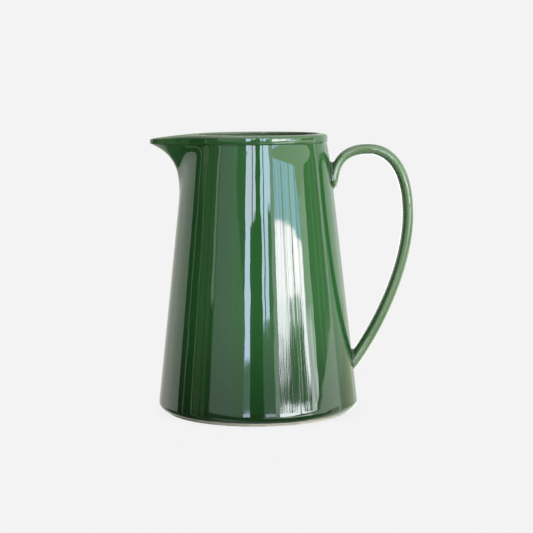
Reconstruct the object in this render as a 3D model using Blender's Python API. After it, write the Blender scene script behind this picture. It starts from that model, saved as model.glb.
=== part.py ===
"""Glazed stoneware pitcher: a tapered jug with a pulled spout and a strap handle.

Metres, +Z up. The spout points along -X and the handle along +X. The pitcher stands on Z = 0, and the
origin is under the middle of its whole outline. Every piece is modelled round the vessel's own axis
and then moved with one empty, because the handle reaches further out than the spout.
"""

import math

import bmesh
import bpy
from mathutils import Vector
from mathutils.bvhtree import BVHTree
from mathutils.geometry import interpolate_bezier

# Body of the vessel
BODY_HEIGHT = 0.2000  # table to the top of the rim
BASE_RADIUS = 0.0729  # straight outer line of the wall, carried down to the table
SHOULDER_RADIUS = 0.0508  # the same line, carried up to the rim's height
WALL = 0.0042
FLOOR = 0.0050
BASE_ROUND = 0.0050  # outer corner where the wall turns under
COVE = 0.0070  # inner corner where the wall meets the floor
COVE_LAND = 0.0012  # thickness left at the cove's upper edge
NECK_DEPTH = 0.0009  # how far the wall draws in under the rim
NECK_START = 0.0240  # below the rim, where it starts to draw in
NECK_END = 0.0085  # below the rim, where it has drawn in fully

# Foot ring
FOOT_HEIGHT = 0.0014
FOOT_INSET = 0.0066  # outer face of the ring behind the base radius
FOOT_WIDTH = 0.0060
FOOT_ROUND = 0.0003

# Rim band
BAND_HEIGHT = 0.0062
BAND_HEIGHT_AT_LIP = 0.0038
BAND_PROUD = 0.0008  # how far the band stands out from the wall
BAND_ROUND_OUT = 0.0013
BAND_ROUND_IN = 0.0019
BAND_ROUND_LOW = 0.0004
LIP_THICKNESS = 0.0026  # thinnest edge, at the spout's tip

# Spout
SPOUT_REACH = 0.0240  # past the wall, just under the rim band
SPOUT_START = 0.0510  # below the rim, where the wall begins to swell
SPOUT_BELLY = 0.0290  # length of the upright first part of its throat curve
SPOUT_RUNOUT = 0.0193  # length of the last part of its throat curve
SPOUT_TIP_REACH = 0.0262  # end of the throat curve, past the wall
SPOUT_TIP_DROP = 0.0063  # end of the throat curve, below the rim
SPOUT_TIP_SLOPE = 22.5  # degrees above level at the tip
SPOUT_SPREAD = 16.0  # degrees round the wall
SPOUT_NOSE = 2.5  # degrees of rounding at the middle
SPOUT_FALLOFF = 1.5
SPOUT_LIFT = 0.0020  # how much higher its inner face lies than its outer one
LIP_DROOP = 0.0030  # how far the tip hangs below the rim

# Notch in the wall that the spout fills
NOTCH_DROP = 0.0530  # lowest point below the rim
NOTCH_ROUND = 0.0100
NOTCH_SPLAY = 33.0  # degrees of each side from upright
NOTCH_NEAR = 0.0100  # the cut starts this far from the axis
NOTCH_FAR = 0.1200

# Handle: a strap along three curves from the upper root over the arch to the lower root
STRAP_WIDTH = 0.0160
UPPER_ROOT_WIDTH = 0.0212
LOWER_ROOT_WIDTH = 0.0200
ROOT_FLARE = 0.0300  # length of strap over which a root widens
STRAP_THICK_ROOT = 0.0069
STRAP_THICK_ARCH = 0.0078
STRAP_THICK_FOOT = 0.0086
STRAP_ARCH_SHARE = 0.25  # share of the strap's length by which it is as thick as the arch
STRAP_FOOT_SHARE = 0.5  # share from which it thickens towards its lower root
STRAP_SQUARENESS = 2.4  # 2 is an ellipse
TAIL_DROP = 0.0400  # tail of the upper root, below the rim
TAIL_SINK = 0.0003  # tail's middle line behind the wall's face
TAIL_RUN = 0.0200
TAIL_ROUND = 0.0040
TAIL_TIP = 0.25  # size of the tail's very end, as a share of the strap's section
ARCH_DROP = 0.0116  # top of the arch's middle line, below the rim
ARCH_OUT = 0.0301  # top of the arch, out from the wall at the rim
ARCH_RUN_IN = 0.0165
ARCH_RUN_OUT = 0.0195
BACK_DROP = 0.0587  # outermost point, below the rim
BACK_OUT = 0.0590  # outermost point, out from the wall at the rim
BACK_RUN_UP = 0.0280
BACK_RUN_DOWN = 0.0420
LOWER_ROOT_HEIGHT = 0.0297
LOWER_ROOT_SINK = 0.0041
LOWER_ROOT_SLOPE = 39.0  # degrees from upright
LOWER_ROOT_RUN = 0.0277
LOWER_ROOT_TAIL = 0.0040  # straight end buried in the wall, before the saddle is cut

# Slip coils in the corners between the handle and the wall
COIL_RADIUS = 0.0009

GAP = 0.0003  # between two pieces that meet

# Fineness of the facets
TURNS = 72
BAND_STATIONS_SPOUT = 30
BAND_STATIONS_REST = 50
SPOUT_ZONE = 62.0  # degrees each side of the spout's middle that take the finer steps
WALL_LEVELS = 15
LEVEL_CROWDING = 1.6  # 1 spaces the wall's levels evenly, more crowds them towards the rim
CORNER_STEPS = 4
THROAT_STEPS = 80
STRAP_STEPS = 16
STRAP_SIDES = 18
COIL_STATIONS = 64
COIL_SEARCH_STEPS = 40
SMALLEST_REACH = 1e-6
SMOOTH_ANGLE = math.radians(40)


def clear_scene():
    for obj in list(bpy.data.objects):
        bpy.data.objects.remove(obj, do_unlink=True)


def smooth_step(share):
    share = min(max(share, 0.0), 1.0)
    return share * share * (3.0 - 2.0 * share)


def mix(low, high, share):
    return low + (high - low) * share


# The vessel's own surface


def wall_line(z):
    """Outer radius of the plain cone at this height."""
    return mix(BASE_RADIUS, SHOULDER_RADIUS, z / BODY_HEIGHT)


def wall_slope():
    return (SHOULDER_RADIUS - BASE_RADIUS) / BODY_HEIGHT


def wall_radius(z):
    """Outer radius with the neck that draws in under the rim."""
    below = BODY_HEIGHT - z
    share = (NECK_START - below) / (NECK_START - NECK_END)
    return wall_line(z) - NECK_DEPTH * smooth_step(share)


def throat_curve():
    """(reach past the wall, height) along the underside of the spout, from its start to its tip."""
    start = Vector((0.0, BODY_HEIGHT - SPOUT_START))
    tip = Vector((SPOUT_TIP_REACH, BODY_HEIGHT - SPOUT_TIP_DROP))
    slope = math.radians(SPOUT_TIP_SLOPE)
    runout = Vector((math.cos(slope), math.sin(slope))) * SPOUT_RUNOUT
    belly = start + Vector((0.0, SPOUT_BELLY))
    return interpolate_bezier(start, belly, tip - runout, tip, THROAT_STEPS)


THROAT = throat_curve()


def spout_reach(z):
    """How far the middle of the spout stands past the wall at this height."""
    if z <= THROAT[0].y:
        return 0.0
    for low, high in zip(THROAT, THROAT[1:]):
        if z <= high.y:
            return mix(low.x, high.x, (z - low.y) / (high.y - low.y))
    return high.x + (z - high.y) * (high.x - low.x) / (high.y - low.y)


def spout_share(angle, reach):
    """1 at the middle of the spout, falling to 0 round its sides. A short reach is a narrow one."""
    if reach < SMALLEST_REACH:
        return 0.0
    away = abs(math.degrees(math.atan2(math.sin(angle - math.pi), math.cos(angle - math.pi))))
    spread = SPOUT_SPREAD * (reach / SPOUT_REACH) ** (1.0 / 3.0)
    rounded = math.hypot(away, SPOUT_NOSE) - SPOUT_NOSE
    return math.exp(-((rounded / spread) ** SPOUT_FALLOFF))


def outer_radius(angle, z):
    reach = spout_reach(z)
    return wall_radius(z) + reach * spout_share(angle, reach)


def inner_radius(angle, z):
    reach = spout_reach(z - SPOUT_LIFT)
    return wall_radius(z) - WALL + reach * spout_share(angle, reach)


def rim_top(angle):
    return BODY_HEIGHT - LIP_DROOP * spout_share(angle, SPOUT_REACH)


def band_bottom(angle):
    share = spout_share(angle, SPOUT_REACH)
    return rim_top(angle) - mix(BAND_HEIGHT, BAND_HEIGHT_AT_LIP, share)


def at(angle, radius, z):
    return Vector((radius * math.cos(angle), radius * math.sin(angle), z))


def stations(in_spout, elsewhere):
    """Angles all the way round, closer together at the spout."""
    zone = math.radians(SPOUT_ZONE)
    near = [math.pi - zone + 2 * zone * i / in_spout for i in range(in_spout)]
    rest = 2 * math.pi - 2 * zone
    far = [math.pi + zone + rest * i / elsewhere for i in range(elsewhere)]
    return near + far


# Mesh helpers


def new_object(name, bm, material):
    mesh = bpy.data.meshes.new(name)
    bmesh.ops.recalc_face_normals(bm, faces=bm.faces)
    bm.to_mesh(mesh)
    bm.free()
    mesh.shade_smooth()
    mesh.set_sharp_from_angle(angle=SMOOTH_ANGLE)
    mesh.materials.append(material)
    obj = bpy.data.objects.new(name, mesh)
    bpy.context.collection.objects.link(obj)
    return obj


def make_helper(obj):
    obj.hide_render = True
    obj.display_type = "WIRE"
    return obj


def skin(rings, cyclic):
    """Faces between neighbouring rings; a cyclic skin also joins the last ring to the first."""
    bm = bmesh.new()
    loops = [[bm.verts.new(point) for point in ring] for ring in rings]
    pairs = list(zip(loops, loops[1:]))
    if cyclic:
        pairs.append((loops[-1], loops[0]))
    for first, second in pairs:
        for i in range(len(first)):
            j = (i + 1) % len(first)
            bm.faces.new((first[i], first[j], second[j], second[i]))
    if not cyclic:
        bm.faces.new(loops[0])
        bm.faces.new(loops[-1])
    return bm


def turned(name, profile, material):
    """A closed outline of (radius, height) points spun round the vessel's axis."""
    bm = bmesh.new()
    verts = [bm.verts.new((radius, 0.0, z)) for radius, z in profile]
    edges = [bm.edges.new((a, b)) for a, b in zip(verts, verts[1:])]
    if profile[0][0] > 0:
        edges.append(bm.edges.new((verts[-1], verts[0])))
    bmesh.ops.spin(
        bm,
        geom=verts + edges,
        axis=(0, 0, 1),
        cent=(0, 0, 0),
        angle=2 * math.pi,
        steps=TURNS,
        use_merge=True,
    )
    bmesh.ops.remove_doubles(bm, verts=bm.verts, dist=1e-6)
    return new_object(name, bm, material)


def arc(centre, radius, start, end, steps):
    """Points on an arc, with angles in degrees."""
    angles = [math.radians(mix(start, end, i / steps)) for i in range(steps + 1)]
    return [(centre[0] + radius * math.cos(a), centre[1] + radius * math.sin(a)) for a in angles]


def rounded_corner(before, corner, after, radius, steps):
    """Points that replace a corner of an outline by a curve tangent to both of its sides."""
    corner = Vector(corner)
    to_before = Vector(before) - corner
    to_after = Vector(after) - corner
    most = min(to_before.length, to_after.length) * 0.45  # leaves room for the next corner
    half = to_before.angle(to_after) / 2
    run = min(radius / math.tan(half), most)
    start = corner + to_before.normalized() * run
    end = corner + to_after.normalized() * run
    bend = 2.0 / 3.0
    return interpolate_bezier(start, start.lerp(corner, bend), end.lerp(corner, bend), end, steps + 1)


def boolean(obj, cutter, operation):
    modifier = obj.modifiers.new(cutter.name, "BOOLEAN")
    modifier.operation = operation
    modifier.solver = "EXACT"
    modifier.object = cutter


# Body: wall, floor and foot


def base_height():
    """Underside of the glazed base, clear of the foot ring."""
    return FOOT_HEIGHT + GAP


def base_corner():
    """(radius, height) of the centre of the outer corner's arc."""
    z = base_height() + BASE_ROUND
    return wall_line(z) - BASE_ROUND * math.hypot(1.0, wall_slope()), z


def corner_tangent():
    """Degrees above level at which the corner's arc runs into the wall."""
    return math.degrees(math.atan2(-wall_slope(), 1.0))


def seam_angle():
    """Degrees on the corner's arc where the wall ends and the floor disc begins."""
    centre, z = base_corner()
    inside = wall_line(z) - WALL
    return -math.degrees(math.acos(min(max((inside - centre) / BASE_ROUND, 0.0), 1.0)))


def shell():
    """The wall with its spout, from the base corner up to the rim band."""
    corner = arc(base_corner(), BASE_ROUND, seam_angle(), corner_tangent(), CORNER_STEPS)
    low = corner[-1][1]
    rings = []
    for angle in stations(BAND_STATIONS_SPOUT, BAND_STATIONS_REST):
        top = band_bottom(angle) - GAP
        heights = [mix(low, top, level_share(i)) for i in range(1, WALL_LEVELS + 1)]
        outside = [at(angle, radius, z) for radius, z in corner]
        outside += [at(angle, outer_radius(angle, z), z) for z in heights]
        inside = [at(angle, inner_radius(angle, z), z) for z in reversed(heights)]
        inside += [at(angle, wall_line(z) - WALL, z) for z in (low, corner[0][1])]
        rings.append(outside + inside)
    return skin(rings, cyclic=True)


def level_share(i):
    """Levels up the wall, closer together towards the rim."""
    return 1.0 - (1.0 - i / WALL_LEVELS) ** LEVEL_CROWDING


def notch_cutter(name, shrink, material):
    """A prism along X with a rounded V outline; the shrunk one shapes the spout that fills the notch."""
    splay = NOTCH_SPLAY
    centre = (0.0, BODY_HEIGHT - NOTCH_DROP + NOTCH_ROUND)
    outline = arc(centre, NOTCH_ROUND - shrink, -splay, splay - 180.0, 3 * CORNER_STEPS)
    top = BODY_HEIGHT + NOTCH_ROUND
    spread = math.tan(math.radians(splay))
    right_y, right_z = outline[0]
    left_y, left_z = outline[-1]
    outline.insert(0, (right_y + (top - right_z) * spread, top))
    outline.append((left_y - (top - left_z) * spread, top))
    near, far = -NOTCH_NEAR, -NOTCH_FAR
    bm = bmesh.new()
    face = bm.faces.new([bm.verts.new((near, y, z)) for y, z in outline])
    swept = bmesh.ops.extrude_face_region(bm, geom=[face])
    moved = [item for item in swept["geom"] if isinstance(item, bmesh.types.BMVert)]
    bmesh.ops.translate(bm, verts=moved, vec=(far - near, 0.0, 0.0))
    return make_helper(new_object(name, bm, material))


def make_body_wall(glaze):
    obj = new_object("body_wall", shell(), glaze)
    boolean(obj, notch_cutter("notch_cutter", 0.0, glaze), "DIFFERENCE")
    return obj


def make_spout(glaze):
    obj = new_object("spout", shell(), glaze)
    boolean(obj, notch_cutter("spout_cutter", GAP, glaze), "INTERSECT")
    return obj


def make_floor_disc(glaze):
    """The base slab inside the wall, with the coved inner corner and the rest of the outer one."""
    centre = base_corner()
    edge = wall_line(centre[1]) - WALL - GAP
    under = [(edge, base_height())]
    if edge > centre[0]:
        start = -math.degrees(math.acos(min((edge - centre[0]) / BASE_ROUND, 1.0)))
        under = arc(centre, BASE_ROUND, -90.0, start, CORNER_STEPS)
    top = base_height() + FLOOR
    land = top + COVE - COVE_LAND
    edge_at_land = wall_line(land) - WALL - GAP
    cove_centre = (edge_at_land - COVE, top + COVE)
    drop = math.degrees(math.asin((cove_centre[1] - land) / COVE))
    cove = arc(cove_centre, COVE, -drop, -90.0, CORNER_STEPS)
    profile = [(0.0, base_height())] + under + [(edge_at_land, land)] + cove + [(0.0, top)]
    return turned("floor_disc", profile, glaze)


def foot_radii():
    outer = BASE_RADIUS - FOOT_INSET
    return outer - FOOT_WIDTH, outer


def make_foot_ring(clay):
    inner, outer = foot_radii()
    low, high = FOOT_ROUND, FOOT_HEIGHT
    profile = arc((outer - FOOT_ROUND, low), FOOT_ROUND, -90.0, 0.0, CORNER_STEPS)
    profile += [(outer, high), (inner, high)]
    profile += arc((inner + FOOT_ROUND, low), FOOT_ROUND, 180.0, 270.0, CORNER_STEPS)
    return turned("foot_ring", profile, clay)


# Rim band


def band_section(angle):
    """Outline of the band in the upright plane at this angle, from its lower outer corner upwards."""
    low = band_bottom(angle)
    top = rim_top(angle)
    face = outer_radius(angle, low) + BAND_PROUD
    crest = min(inner_radius(angle, top), face - LIP_THICKNESS)
    corners = [(face, low), (face, top), (crest, top), (inner_radius(angle, low), low)]
    rounds = [BAND_ROUND_LOW, BAND_ROUND_OUT, BAND_ROUND_IN, BAND_ROUND_LOW]
    steps = [1, 3, 3, 1]
    points = []
    for i, corner in enumerate(corners):
        before, after = corners[i - 1], corners[(i + 1) % 4]
        points += rounded_corner(before, corner, after, rounds[i], steps[i])
    return [at(angle, radius, z) for radius, z in points]


def make_rim_band(glaze):
    rings = [band_section(angle) for angle in stations(BAND_STATIONS_SPOUT, BAND_STATIONS_REST)]
    return new_object("rim_band", skin(rings, cyclic=True), glaze)


# Handle


def strap_path():
    """Middle line of the strap in the XZ plane, from its tail on the wall to its lower end."""
    rim = wall_radius(BODY_HEIGHT)
    tail_z = BODY_HEIGHT - TAIL_DROP
    tail = Vector((wall_radius(tail_z) - TAIL_SINK, tail_z))
    arch = Vector((rim + ARCH_OUT, BODY_HEIGHT - ARCH_DROP))
    back = Vector((rim + BACK_OUT, BODY_HEIGHT - BACK_DROP))
    low = Vector((wall_radius(LOWER_ROOT_HEIGHT) - LOWER_ROOT_SINK, LOWER_ROOT_HEIGHT))
    slope = math.radians(LOWER_ROOT_SLOPE)
    inward = Vector((-math.sin(slope), -math.cos(slope)))
    up = Vector((0.0, 1.0))
    across = Vector((1.0, 0.0))
    curves = [
        (tail, tail + up * TAIL_RUN, arch - across * ARCH_RUN_IN, arch),
        (arch, arch + across * ARCH_RUN_OUT, back + up * BACK_RUN_UP, back),
        (back, back - up * BACK_RUN_DOWN, low - inward * LOWER_ROOT_RUN, low),
    ]
    points = []
    for curve in curves:
        points += interpolate_bezier(*curve, STRAP_STEPS + 1)[:-1]
    return points + [low, low + inward * LOWER_ROOT_TAIL]


def strap_size(run, length):
    """(half thickness, half width) of the strap this far along it."""
    share = run / length
    foot = smooth_step((share - STRAP_FOOT_SHARE) / (1.0 - STRAP_FOOT_SHARE))
    thick = mix(STRAP_THICK_ROOT, STRAP_THICK_ARCH, smooth_step(share / STRAP_ARCH_SHARE))
    thick += (STRAP_THICK_FOOT - STRAP_THICK_ARCH) * foot
    upper = 1.0 - smooth_step(run / ROOT_FLARE)
    lower = 1.0 - smooth_step((length - run) / ROOT_FLARE)
    width = STRAP_WIDTH + (UPPER_ROOT_WIDTH - STRAP_WIDTH) * upper
    width += (LOWER_ROOT_WIDTH - STRAP_WIDTH) * lower
    tail = min(run / TAIL_ROUND, 1.0)
    taper = mix(TAIL_TIP, 1.0, math.sqrt(1.0 - (1.0 - tail) ** 2))
    return thick / 2 * taper, width / 2 * taper


def strap_section(centre, along, half_thick, half_width):
    """Rounded oblong across the strap: one side faces out of the loop, the other faces the hand."""
    outward = Vector((-along.y, along.x))
    power = 2.0 / STRAP_SQUARENESS
    points = []
    for i in range(STRAP_SIDES):
        turn = 2 * math.pi * i / STRAP_SIDES
        out = math.copysign(abs(math.cos(turn)) ** power, math.cos(turn)) * half_thick
        side = math.copysign(abs(math.sin(turn)) ** power, math.sin(turn)) * half_width
        flat = centre + outward * out
        points.append(Vector((flat.x, side, flat.y)))
    return points


def strap():
    path = strap_path()
    runs = [0.0]
    for a, b in zip(path, path[1:]):
        runs.append(runs[-1] + (b - a).length)
    rings = []
    for i, centre in enumerate(path):
        along = (path[min(i + 1, len(path) - 1)] - path[max(i - 1, 0)]).normalized()
        rings.append(strap_section(centre, along, *strap_size(runs[i], runs[-1])))
    return skin(rings, cyclic=False)


def saddle_cutter(glaze):
    """The vessel as a solid grown by the gap: what it takes off the strap leaves the two saddles."""
    heights = [BODY_HEIGHT * level_share(i) for i in range(WALL_LEVELS + 1)]
    profile = [(0.0, 0.0)] + [(wall_radius(z) + GAP, z) for z in heights] + [(0.0, BODY_HEIGHT)]
    return make_helper(turned("saddle_cutter", profile, glaze))


def make_handle(glaze):
    obj = new_object("handle", strap(), glaze)
    boolean(obj, saddle_cutter(glaze), "DIFFERENCE")
    return obj


# Slip coils at the handle's roots


def root_middle(low, high):
    """Height of the middle of the root that the strap sinks into the wall between two heights."""
    bm = strap()
    points = [vert.co.copy() for vert in bm.verts if low < vert.co.z < high]
    bm.free()
    sunk = [point.z for point in points if math.hypot(point.x, point.y) < wall_radius(point.z)]
    return (min(sunk) + max(sunk)) / 2


def coil_point(turn, reach, middle):
    """A point one coil radius off the wall, this far from the root's middle in the given direction."""
    z = middle + reach * math.cos(turn)
    radius = wall_radius(z) + (COIL_RADIUS + GAP) * math.hypot(1.0, wall_slope())
    return at(reach * math.sin(turn) / radius, radius, z)


def coil_path(middle):
    """Closed line that lies in the corner between the wall and the strap, clear of both by the gap."""
    bm = strap()
    tree = BVHTree.FromBMesh(bm)
    bm.free()
    points = []
    for i in range(COIL_STATIONS):
        turn = 2 * math.pi * i / COIL_STATIONS
        reach = max(UPPER_ROOT_WIDTH, LOWER_ROOT_WIDTH) * 1.5  # starts well outside the root
        for _ in range(COIL_SEARCH_STEPS):
            distance = tree.find_nearest(coil_point(turn, reach, middle))[3]
            reach -= distance - COIL_RADIUS - GAP
        points.append(coil_point(turn, reach, middle))
    return points


def make_coil(name, middle, glaze):
    data = bpy.data.curves.new(name, "CURVE")
    data.dimensions = "3D"
    data.bevel_depth = COIL_RADIUS
    data.bevel_resolution = 2
    spline = data.splines.new("POLY")
    points = coil_path(middle)
    spline.points.add(len(points) - 1)
    for target, point in zip(spline.points, points):
        target.co = (*point, 1.0)
    spline.use_cyclic_u = True
    spline.use_smooth = True
    data.materials.append(glaze)
    obj = bpy.data.objects.new(name, data)
    bpy.context.collection.objects.link(obj)
    return obj


# Materials and assembly


def make_material(name, colour, roughness, coat):
    material = bpy.data.materials.new(name)
    material.use_nodes = True
    shader = material.node_tree.nodes["Principled BSDF"]
    shader.inputs["Base Color"].default_value = (*colour, 1.0)
    shader.inputs["Roughness"].default_value = roughness
    shader.inputs["Metallic"].default_value = 0.0
    shader.inputs["Coat Weight"].default_value = coat
    return material


def set_origin(obj, origin):
    """Puts the object's origin at a point of the vessel without moving its shape."""
    origin = Vector(origin)
    if obj.type == "MESH":
        for vert in obj.data.vertices:
            vert.co -= origin
    else:
        for point in obj.data.splines[0].points:
            point.co = (*(point.co.xyz - origin), 1.0)
    obj.location = origin


def outline_middle():
    """X of the middle between the lip's tip and the back of the handle, from the vessel's axis."""
    lip = min(point.x for point in band_section(math.pi))
    bm = strap()
    back = max(vert.co.x for vert in bm.verts)
    bm.free()
    return (lip + back) / 2


def build():
    clear_scene()
    wall_glaze = make_material("green_glaze", (0.022, 0.115, 0.040), 0.08, 1.0)
    rim_glaze = make_material("green_glaze_on_rim", (0.060, 0.190, 0.080), 0.08, 1.0)
    handle_glaze = make_material("green_glaze_on_handle", (0.050, 0.170, 0.070), 0.08, 1.0)
    inner_glaze = make_material("green_glaze_inside", (0.030, 0.130, 0.050), 0.10, 1.0)
    slip = make_material("pooled_glaze", (0.012, 0.055, 0.020), 0.10, 1.0)
    clay = make_material("bare_stoneware", (0.560, 0.520, 0.420), 0.75, 0.0)

    rim = wall_radius(BODY_HEIGHT)
    upper_z = root_middle(BODY_HEIGHT / 2, BODY_HEIGHT)
    lower_z = root_middle(0.0, BODY_HEIGHT / 2)
    origins = {
        make_foot_ring(clay): (0.0, 0.0, 0.0),
        make_floor_disc(inner_glaze): (0.0, 0.0, base_height()),
        make_body_wall(wall_glaze): (0.0, 0.0, base_height()),
        make_spout(wall_glaze): (-rim, 0.0, BODY_HEIGHT - BAND_HEIGHT),
        make_rim_band(rim_glaze): (0.0, 0.0, BODY_HEIGHT),
        make_handle(handle_glaze): (wall_radius(upper_z), 0.0, upper_z),
        make_coil("upper_joint_coil", upper_z, slip): (wall_radius(upper_z), 0.0, upper_z),
        make_coil("lower_joint_coil", lower_z, slip): (wall_radius(lower_z), 0.0, lower_z),
    }
    vessel = bpy.data.objects.new("pitcher", None)
    bpy.context.collection.objects.link(vessel)
    vessel.location = (-outline_middle(), 0.0, 0.0)
    for obj, origin in origins.items():
        set_origin(obj, origin)
    for obj in bpy.data.objects:
        if obj is not vessel:
            obj.parent = vessel


build()
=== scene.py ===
# Glazed stoneware pitcher: one continuous glazed vessel, a pulled strap handle, two filled joints
# and a bare foot. Metres, +Z up, spout towards -X, handle towards +X.
import math

import bmesh
import bpy
from mathutils import Matrix, Vector
from mathutils.bvhtree import BVHTree
from mathutils.geometry import interpolate_bezier


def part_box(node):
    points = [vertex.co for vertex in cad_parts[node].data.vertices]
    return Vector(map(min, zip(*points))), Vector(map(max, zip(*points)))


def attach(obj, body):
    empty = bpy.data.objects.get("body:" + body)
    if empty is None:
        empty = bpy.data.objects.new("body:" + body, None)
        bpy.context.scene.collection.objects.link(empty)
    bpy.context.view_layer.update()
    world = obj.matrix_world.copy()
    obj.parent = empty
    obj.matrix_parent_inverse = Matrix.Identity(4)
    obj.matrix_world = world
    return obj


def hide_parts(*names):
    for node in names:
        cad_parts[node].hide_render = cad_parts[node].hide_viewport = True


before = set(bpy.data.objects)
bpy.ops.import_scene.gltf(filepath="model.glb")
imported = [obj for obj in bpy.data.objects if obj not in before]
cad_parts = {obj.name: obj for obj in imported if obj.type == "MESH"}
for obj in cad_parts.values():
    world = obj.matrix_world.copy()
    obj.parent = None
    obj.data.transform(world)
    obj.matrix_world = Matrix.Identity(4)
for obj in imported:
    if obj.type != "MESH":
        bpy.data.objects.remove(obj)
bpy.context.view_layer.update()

footLow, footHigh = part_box("foot_ring")
axisX = (footLow.x + footHigh.x) / 2  # the vessel's own axis, which the handle puts off the middle
footRadius = footHigh.x - axisX
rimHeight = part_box("rim_band")[1].z


def mix(low, high, share):
    return low + (high - low) * share


def smoothStep(share):
    share = min(max(share, 0.0), 1.0)
    return share * share * (3.0 - 2.0 * share)


# Node tree helpers


def feed(tree, value, socket):
    if isinstance(value, bpy.types.NodeSocket):
        tree.links.new(value, socket)
    else:
        socket.default_value = value


def addNode(tree, kind, inputs=None, **settings):
    node = tree.nodes.new(kind)
    for name, value in settings.items():
        setattr(node, name, value)
    for name, value in (inputs or {}).items():
        feed(tree, value, node.inputs[name])
    return node


def calc(tree, operation, *values):
    node = tree.nodes.new("ShaderNodeMath")
    node.operation = operation
    for socket, value in zip(node.inputs, values):
        feed(tree, value, socket)
    return node.outputs[0]


def vectorCalc(tree, operation, *values):
    node = tree.nodes.new("ShaderNodeVectorMath")
    node.operation = operation
    for socket, value in zip(node.inputs, values):
        feed(tree, value, socket)
    return node.outputs["Value" if operation in ("LENGTH", "DOT_PRODUCT") else "Vector"]


def scaled(tree, vector, amount):
    node = addNode(tree, "ShaderNodeVectorMath", {"Vector": vector, "Scale": amount}, operation="SCALE")
    return node.outputs["Vector"]


def combined(tree, x, y, z):
    return addNode(tree, "ShaderNodeCombineXYZ", {"X": x, "Y": y, "Z": z}).outputs[0]


def diagonal(tree, first, second):
    squares = [calc(tree, "MULTIPLY", value, value) for value in (first, second)]
    return calc(tree, "SQRT", calc(tree, "ADD", *squares))


def drawnOut(tree, place, squeeze):
    # A pattern on this place is drawn out upright
    return addNode(tree, "ShaderNodeMapping", {"Vector": place, "Scale": (1.0, 1.0, squeeze)}).outputs[0]


def noiseValue(tree, place, scale, detail):
    inputs = {"Vector": place, "Scale": scale, "Detail": detail}
    return addNode(tree, "ShaderNodeTexNoise", inputs).outputs[0]


def ramp(tree, value, start, end, low=0.0, high=1.0, kind="SMOOTHSTEP"):
    places = {"Value": value, "From Min": start, "From Max": end, "To Min": low, "To Max": high}
    return addNode(tree, "ShaderNodeMapRange", places, interpolation_type=kind).outputs["Result"]


def blendColour(tree, share, first, second):
    node = tree.nodes.new("ShaderNodeMix")
    node.data_type = "RGBA"
    feed(tree, share, node.inputs[0])
    feed(tree, first, node.inputs[6])
    feed(tree, second, node.inputs[7])
    return node.outputs[2]


def blendValue(tree, share, first, second):
    node = tree.nodes.new("ShaderNodeMix")
    for socket, value in zip((node.inputs[0], node.inputs[2], node.inputs[3]), (share, first, second)):
        feed(tree, value, socket)
    return node.outputs[0]


def numberedGrid(tree, columns, rows):
    # A flat grid, with the column and the row of each of its points
    grid = addNode(tree, "GeometryNodeMeshGrid", {"Vertices X": columns, "Vertices Y": rows})
    index = tree.nodes.new("GeometryNodeInputIndex").outputs[0]
    column = calc(tree, "FLOOR", calc(tree, "DIVIDE", calc(tree, "ADD", index, 0.5), rows))
    row = calc(tree, "SUBTRACT", index, calc(tree, "MULTIPLY", column, rows))
    return grid.outputs["Mesh"], column, row


def stored(tree, geometry, name, value):
    node = addNode(tree, "GeometryNodeStoreNamedAttribute", {"Geometry": geometry, "Name": name})
    feed(tree, value, node.inputs["Value"])
    return node.outputs[0]


def closedAndGlazed(tree, geometry, material, result):
    # Seams and poles are merged, then the tree ends as a plain mesh with its material
    merged = addNode(tree, "GeometryNodeMergeByDistance", {"Geometry": geometry, "Distance": 1e-6})
    real = addNode(tree, "GeometryNodeRealizeInstances", {"Geometry": merged.outputs[0]})
    painted = addNode(tree, "GeometryNodeSetMaterial", {"Geometry": real.outputs[0]})
    feed(tree, material, painted.inputs["Material"])
    feed(tree, painted.outputs[0], result)


def grouped(name, inputs, outputs, kind="GeometryNodeTree"):
    tree = bpy.data.node_groups.new(name, kind)
    for socketName, socketType, value in inputs:
        socket = tree.interface.new_socket(socketName, in_out="INPUT", socket_type=socketType)
        if value is not None:
            socket.default_value = value
    for socketName, socketType in outputs:
        tree.interface.new_socket(socketName, in_out="OUTPUT", socket_type=socketType)
    start = tree.nodes.new("NodeGroupInput")
    end = tree.nodes.new("NodeGroupOutput")
    return tree, start.outputs, end.inputs


def shapedBy(name, tree, points, attributes, values):
    # A polyline with attributes goes in, and the tree's result comes back as a plain closed mesh.
    mesh = bpy.data.meshes.new(name)
    mesh.from_pydata(points, [(i, i + 1) for i in range(len(points) - 1)], [])
    for attributeName, (kind, data) in attributes.items():
        attribute = mesh.attributes.new(attributeName, kind, "POINT")
        field = "vector" if kind == "FLOAT_VECTOR" else "value"
        for item, value in zip(attribute.data, data):
            setattr(item, field, value)
    guide = bpy.data.objects.new(name + "_guide", mesh)
    bpy.context.scene.collection.objects.link(guide)
    modifier = guide.modifiers.new(name, "NODES")
    modifier.node_group = tree
    for item in tree.interface.items_tree:
        if item.in_out == "INPUT" and item.name in values:
            modifier[item.identifier] = values[item.name]
    bpy.context.view_layer.update()
    evaluated = guide.evaluated_get(bpy.context.evaluated_depsgraph_get())
    result = bpy.data.meshes.new_from_object(evaluated)
    bpy.data.objects.remove(guide)
    return finished(name, result)


def finished(name, mesh):
    bm = bmesh.new()
    bm.from_mesh(mesh)
    bmesh.ops.dissolve_degenerate(bm, dist=1e-7, edges=bm.edges)
    bmesh.ops.recalc_face_normals(bm, faces=bm.faces)
    bm.to_mesh(mesh)
    bm.free()
    mesh.name = name
    mesh.shade_smooth()
    piece = bpy.data.objects.new(name, mesh)
    bpy.context.scene.collection.objects.link(piece)
    return piece


# The vessel's surface

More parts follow.
